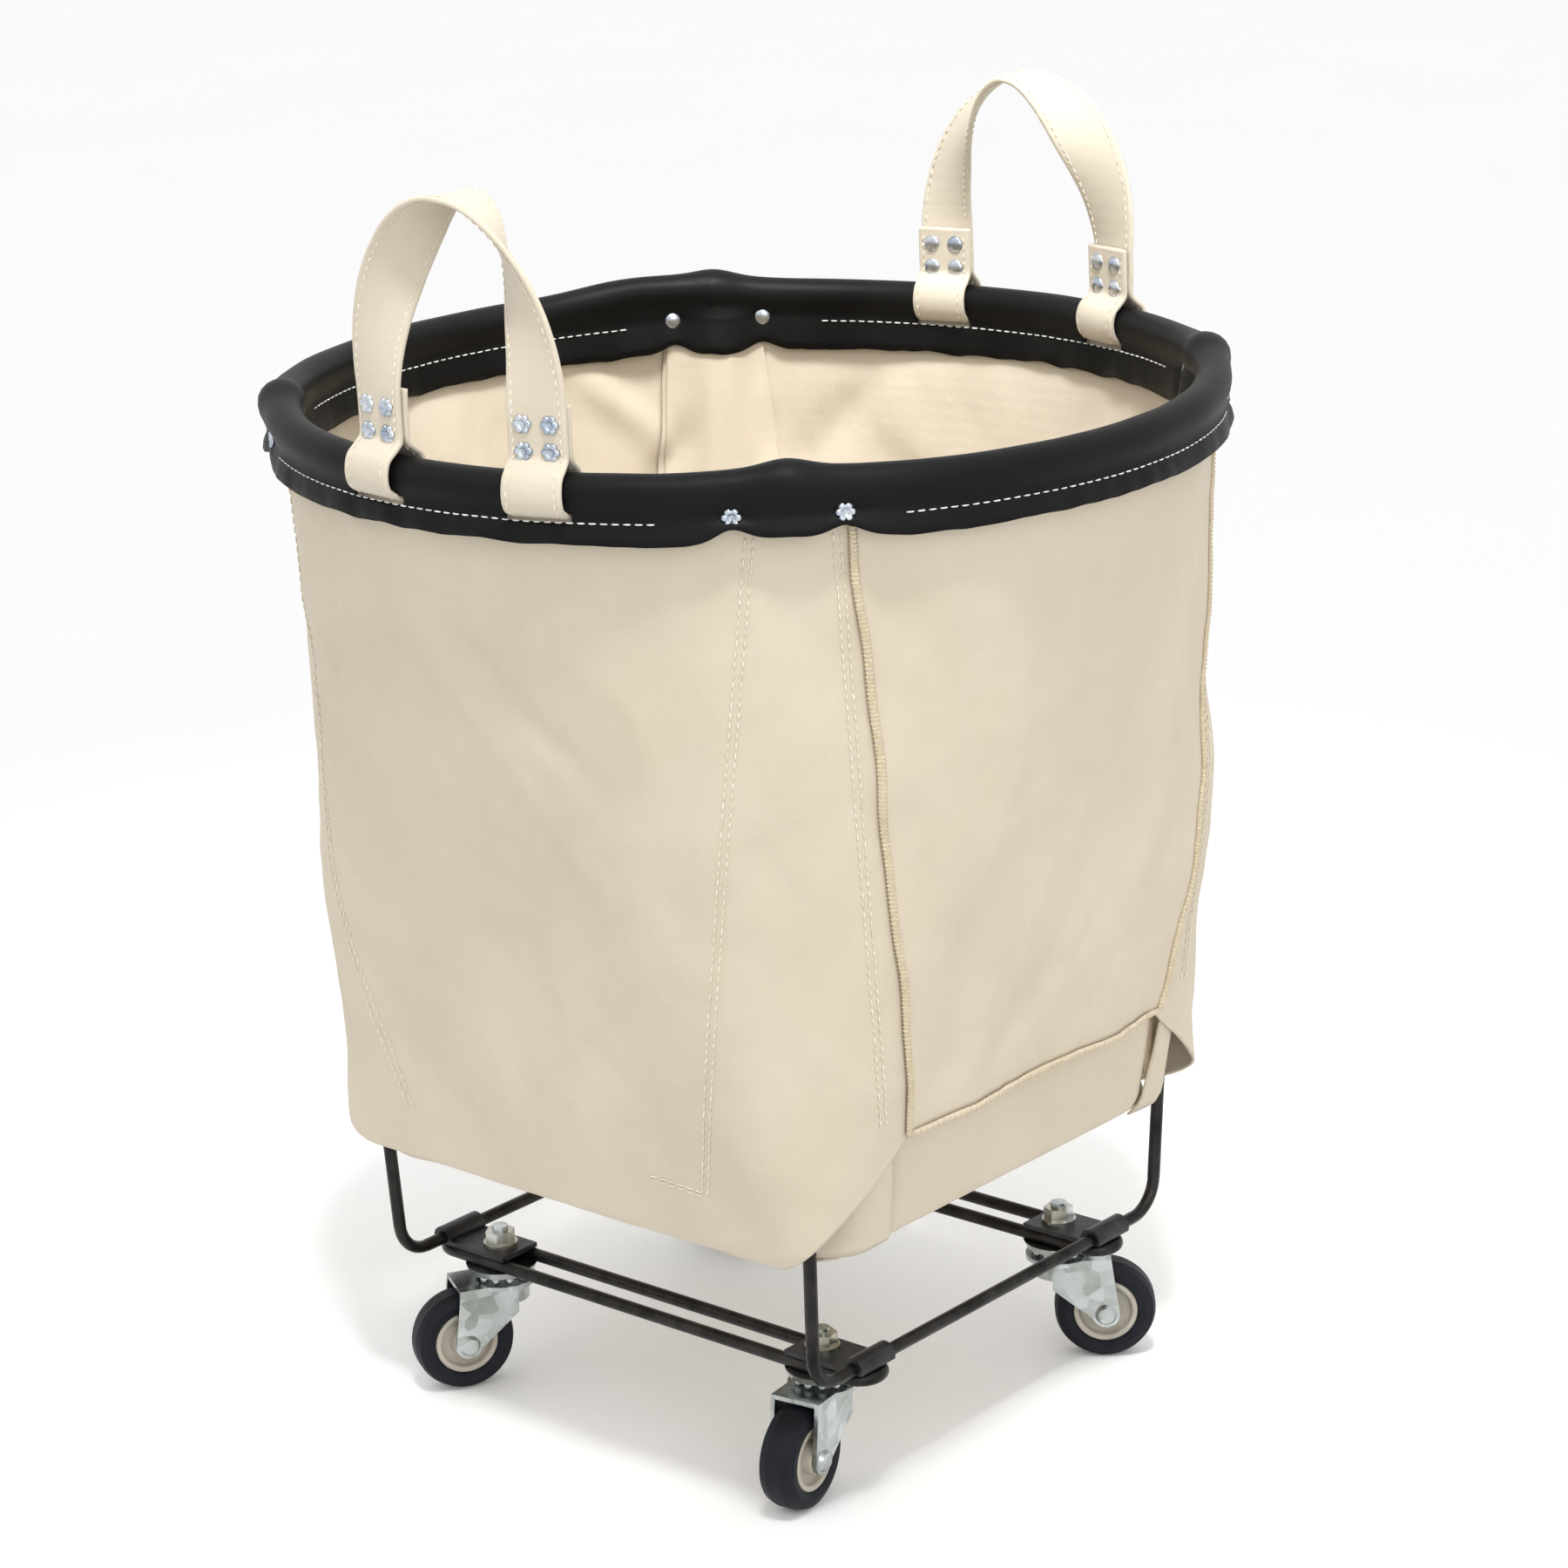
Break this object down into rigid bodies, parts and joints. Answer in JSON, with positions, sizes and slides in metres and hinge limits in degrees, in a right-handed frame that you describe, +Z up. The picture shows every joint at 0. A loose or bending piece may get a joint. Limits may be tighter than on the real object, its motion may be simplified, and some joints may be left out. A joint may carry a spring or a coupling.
{
  "type": "laundry cart",
  "caption": "Small canvas laundry cart: a sewn bag hung on a round wire rim, on a bolted wire base with swivel casters and two strap handles.",
  "frame": {"origin": "floor level under the middle of the rim", "axes": "+Z up; X runs along the two cross loops, between the two end panels; Y runs along the U-shaped frame wires, and the handles are on the -Y and +Y sides"},
  "size_m": [0.454, 0.4599, 0.6245],
  "materials": {
    "canvas": "natural cotton duck, plain weave",
    "canvas_strap": "folded and stitched canvas",
    "vinyl": "satin coated fabric",
    "wire": "dark lacquered steel wire",
    "clip_steel": "dark oxide",
    "rivet_steel": "nickelled",
    "zinc": "bright zinc plated",
    "zinc_yellow": "yellow passivated zinc",
    "hub_plastic": "moulded",
    "tyre_rubber": "smooth hard rubber"
  },
  "bodies": {
    "root": {"canvas_wrap": "canvas", "end_panel_left": "canvas", "end_panel_right": "canvas", "rim_binding": "vinyl", "rim_hoop": "wire", "rim_rivets": "rivet_steel", "frame_wire_left": "wire", "frame_wire_right": "wire", "cross_loop_front": "wire", "cross_loop_back": "wire", "handle_loops_front": "canvas_strap", "handle_loops_back": "canvas_strap", "handle_rivets_front": "rivet_steel", "handle_rivets_back": "rivet_steel", "corner_sleeve_left": "canvas", "corner_sleeve_front": "canvas", "corner_sleeve_right": "canvas", "corner_sleeve_back": "canvas", "corner_clip_left": "clip_steel", "corner_clip_front": "clip_steel", "corner_clip_right": "clip_steel", "corner_clip_back": "clip_steel", "caster_stud_left": "zinc", "caster_stud_front": "zinc", "caster_stud_right": "zinc", "caster_stud_back": "zinc", "caster_balls_left": "zinc", "caster_balls_front": "zinc", "caster_balls_right": "zinc", "caster_balls_back": "zinc", "caster_nut_left": "zinc_yellow", "caster_nut_front": "zinc_yellow", "caster_nut_right": "zinc_yellow", "caster_nut_back": "zinc_yellow"},
    "handle_front": {"handle_arch_front": "canvas_strap"},
    "handle_back": {"handle_arch_back": "canvas_strap"},
    "swivel_left": {"caster_fork_left": "zinc", "caster_axle_left": "zinc"},
    "wheel_left": {"wheel_hub_left": "hub_plastic", "wheel_tyre_left": "tyre_rubber"},
    "swivel_front": {"caster_fork_front": "zinc", "caster_axle_front": "zinc"},
    "wheel_front": {"wheel_hub_front": "hub_plastic", "wheel_tyre_front": "tyre_rubber"},
    "swivel_right": {"caster_fork_right": "zinc", "caster_axle_right": "zinc"},
    "wheel_right": {"wheel_hub_right": "hub_plastic", "wheel_tyre_right": "tyre_rubber"},
    "swivel_back": {"caster_fork_back": "zinc", "caster_axle_back": "zinc"},
    "wheel_back": {"wheel_hub_back": "hub_plastic", "wheel_tyre_back": "tyre_rubber"}
  },
  "joints": [
    {"name": "swivel_left_turn", "type": "hinge", "parent": "root", "child": "swivel_left", "pos_m": [-0.1048, -0.093, 0.055], "axis": [0, 0, 1], "continuous": true},
    {"name": "wheel_left_spin", "type": "hinge", "parent": "swivel_left", "child": "wheel_left", "pos_m": [-0.11605, -0.11249, 0.0254], "axis": [0.866, -0.5, 0], "continuous": true},
    {"name": "swivel_front_turn", "type": "hinge", "parent": "root", "child": "swivel_front", "pos_m": [0.1048, -0.093, 0.055], "axis": [0, 0, 1], "continuous": true},
    {"name": "wheel_front_spin", "type": "hinge", "parent": "swivel_front", "child": "wheel_front", "pos_m": [0.10793, -0.11528, 0.0254], "axis": [0.9903, 0.1392, 0], "continuous": true},
    {"name": "swivel_right_turn", "type": "hinge", "parent": "root", "child": "swivel_right", "pos_m": [0.1048, 0.093, 0.055], "axis": [0, 0, 1], "continuous": true},
    {"name": "wheel_right_spin", "type": "hinge", "parent": "swivel_right", "child": "wheel_right", "pos_m": [0.12229, 0.10716, 0.0254], "axis": [-0.6293, 0.7771, 0], "continuous": true},
    {"name": "swivel_back_turn", "type": "hinge", "parent": "root", "child": "swivel_back", "pos_m": [-0.1048, 0.093, 0.055], "axis": [0, 0, 1], "continuous": true},
    {"name": "wheel_back_spin", "type": "hinge", "parent": "swivel_back", "child": "wheel_back", "pos_m": [-0.12594, 0.1007, 0.0254], "axis": [-0.342, -0.9397, 0], "continuous": true},
    {"name": "handle_front_flex", "type": "hinge", "parent": "root", "child": "handle_front", "pos_m": [0.021, -0.21474, 0.5448], "axis": [-1, 0, 0], "range_deg": [-75, 75], "stiffness_Nm_per_rad": 0.06},
    {"name": "handle_back_flex", "type": "hinge", "parent": "root", "child": "handle_back", "pos_m": [0.005, 0.21249, 0.5448], "axis": [1, 0, 0], "range_deg": [-75, 75], "stiffness_Nm_per_rad": 0.06}
  ]
}
